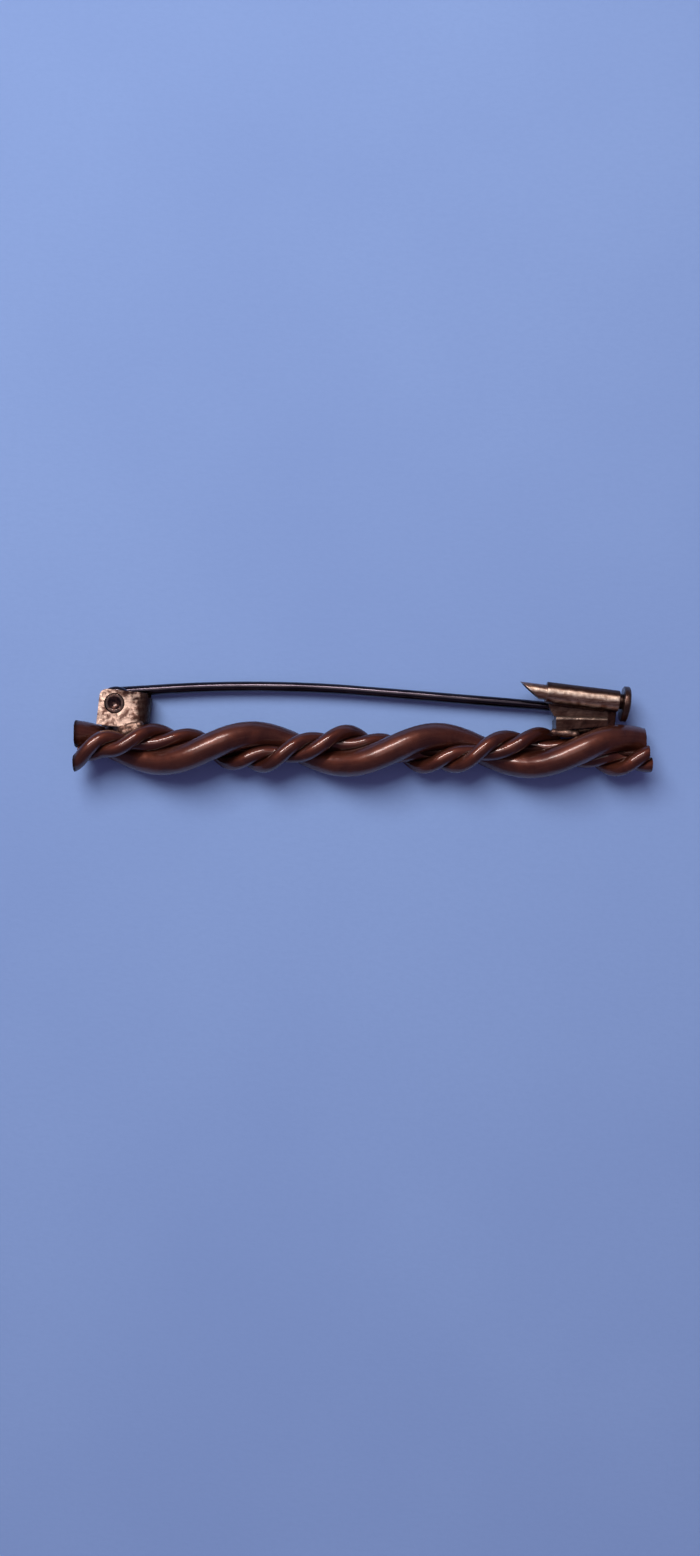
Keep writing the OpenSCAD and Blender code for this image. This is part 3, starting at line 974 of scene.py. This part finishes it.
def catch_tube(material):
    """The fixed tube, its rims worn round."""
    inner, outer = TUBE_R - TUBE_WALL, TUBE_R + TUBE_FULLER
    corners = [(inner, 0.0), (outer, 0.0), (outer, TUBE_LENGTH), (inner, TUBE_LENGTH)]
    mesh = lathe("tube", stretched(rounded(corners, 0.07), 0.16), 72, True)
    co = coordinates(mesh)
    outside = from_axis(co) > inner + 0.08
    moved_out(mesh, outside * (0.010 * wobble(co, 0.9, 41) + 0.005 * wobble(co, 3.0, 42) - 0.004))
    mark_edges(mesh, 14.0)
    mark_band(mesh, inner + 0.05)
    mesh.transform(along_tube())
    return piece("catch_tube_barrel", mesh, "root", ["catch_tube"], material)


def catch_solder(material):
    """Beads at the block's foot on both sides, and a seam along the tube."""
    near = run_of_balls((18.25, 1.80, 0.62), (20.2, 1.62, 0.70), (0.42, 0.30, 0.34), 5, 4)
    far = run_of_balls((18.6, 1.75, -1.3), (22.5, 2.2, -1.3), (0.5, 0.42, 0.45), 7, 5)
    seam = run_of_balls((18.35, 4.62, -0.30), (23.0, 4.08, -0.30), (0.34, 0.20, 0.24), 14, 6)
    return lumps("catch_solder_bead", near + far + seam, ["catch_solder"], material, 51)


def slide_tube(material):
    """The sliding tube, its nose cut slanting like a quill and its other end dark by the knob."""
    length = NOSE + TUBE_LENGTH + KNOB_GAP
    inner = SLIDE_R - SLIDE_WALL
    corners = [(inner, 0), (SLIDE_R, 0), (SLIDE_R, length), (inner, length)]
    mesh = lathe("slide", stretched(rounded(corners, 0.05), 0.12), 64, True)
    co = coordinates(mesh)
    begin = math.tan(NOSE_SLANT) * (SLIDE_R - co[:, 1])
    co[:, 2] = -NOSE + begin + co[:, 2] * (length - begin) / length
    moved_to(mesh, co)
    outside = from_axis(co) > inner + 0.08
    moved_out(mesh, outside * (co[:, 2] < -0.1) * 0.008 * wobble(co, 2.0, 61))
    mark_edges(mesh, 14.0)
    mark_band(mesh, inner + 0.05)
    co = coordinates(mesh)
    bore = from_axis(co) < inner + 0.05
    # Painted shade at the end by the knob and in the bore
    mark(mesh, "shade", np.where(co[:, 2] > TUBE_LENGTH - 0.2, 0.95, 0.7 * bore))
    mesh.transform(along_tube())
    return piece("slide_tube_barrel", mesh, "slide", ["slide_tube"], material)


def knob(material):
    """A flat button with a low dome on its outer side."""
    low = TUBE_LENGTH + KNOB_GAP
    rim, rise = low + KNOB_RIM, KNOB_T - KNOB_RIM
    dome = [(KNOB_R * math.sin(a), rim + rise * math.cos(a))
            for a in np.linspace(math.pi / 2 - 0.16, 0, 14)]
    edge = rounded([(0.0, low), (KNOB_R - 0.02, low), (KNOB_R, rim)], 0.14, closed=False)
    profile = edge[:-1] + [(KNOB_R, rim - 0.06)] + dome[:-1] + [(0.0, low + KNOB_T)]
    mesh = refined(lathe("knob", profile, 88, False))
    co = coordinates(mesh)
    moved_out(mesh, -0.01 + 0.012 * wobble(co, 1.6, 71) + 0.006 * wobble(co, 5.0, 72))
    mark_edges(mesh, 12.0)
    # Painted shade, mottled, over the whole knob
    mark(mesh, "shade", 0.35 + 0.3 * wobble(coordinates(mesh), 1.2, 73))
    mesh.transform(along_tube() @ Matrix.Translation((0, -KNOB_DROP, 0)))
    return piece("slide_knob_cap", mesh, "slide", ["slide_knob"], material)


# ---------------------------------------------------------------- floor, light, camera
def floor():
    bm = bmesh.new()
    bmesh.ops.create_grid(bm, x_segments=2, y_segments=2, size=FLOOR_SIZE)
    mesh = bpy.data.meshes.new("floor")
    bm.to_mesh(mesh)
    bm.free()
    mesh.materials.append(pale_paper())
    obj = linked("floor", mesh)


def area_light(name, direction, distance, width, height, power, colour):
    """A rectangle of light that faces the brooch, in metres and watts."""
    light = bpy.data.lights.new(name, "AREA")
    light.shape = "RECTANGLE"
    light.size, light.size_y = width, height
    light.energy = power
    light.color = colour
    obj = linked(name, light)
    way = Vector(direction).normalized()
    obj.location = AXIS + way * distance
    obj.rotation_mode = "QUATERNION"
    obj.rotation_quaternion = way.to_track_quat("Z", "Y")
    return obj


def lights():
    world = bpy.data.worlds.new("room")
    bpy.context.scene.world = world
    world.use_nodes = True
    background = world.node_tree.nodes["Background"].inputs
    background["Color"].default_value = (0.50, 0.38, 0.68, 1)
    background["Strength"].default_value = 0.18
    # The key and the wash show only as shine; the soft one and the sky light all that is dull
    key = area_light("key", (-0.26, 0.55, 0.79), 0.5, 0.42, 0.045, 2.3, (1.0, 0.89, 0.86))
    wash = area_light("wash", (-0.10, 0.25, 0.95), 0.5, 0.40, 0.30, 0.35, (1.0, 0.90, 0.88))
    key.visible_diffuse = wash.visible_diffuse = False
    soft = area_light("soft", (-0.24, 0.50, 0.80), 0.4, 0.24, 0.24, 1.25, (0.96, 0.98, 0.97))
    sky = area_light("sky", (0.0, 0.1, 1.0), 0.5, 1.2, 1.2, 0.36, (1.0, 0.76, 0.88))
    soft.visible_glossy = sky.visible_glossy = False


def camera():
    """Straight above the brooch, at a phone's distance, turned a little against it."""
    data = bpy.data.cameras.new("camera")
    data.sensor_width = 36.0
    data.lens = data.sensor_width * CAMERA_HEIGHT / VIEW_HEIGHT
    data.clip_start, data.clip_end = 0.01, 5.0
    obj = linked("camera", data)
    obj.location = AXIS + Vector((*CAMERA_OFFSET, CAMERA_HEIGHT)) * MM
    obj.rotation_euler = (0, 0, CAMERA_TURN)
    bpy.context.scene.camera = obj


def build():
    solder = solder_metal()
    bar()
    hinge_strip()
    rivet()
    hinge_solder(solder)
    pin()
    # The darker copy stands partly for tone and partly for painted shade on the block, wall and
    # knob
    bright, darker_copy = catch_metal("catch_bright", 0.0), catch_metal("catch_darker_copy", 0.80)
    catch_block(darker_copy)
    catch_wall(darker_copy)
    catch_tube(bright)
    catch_solder(solder)
    slide_tube(bright)
    knob(darker_copy)


build()
floor()
lights()
camera()
bpy.context.scene.view_settings.view_transform = "Standard"
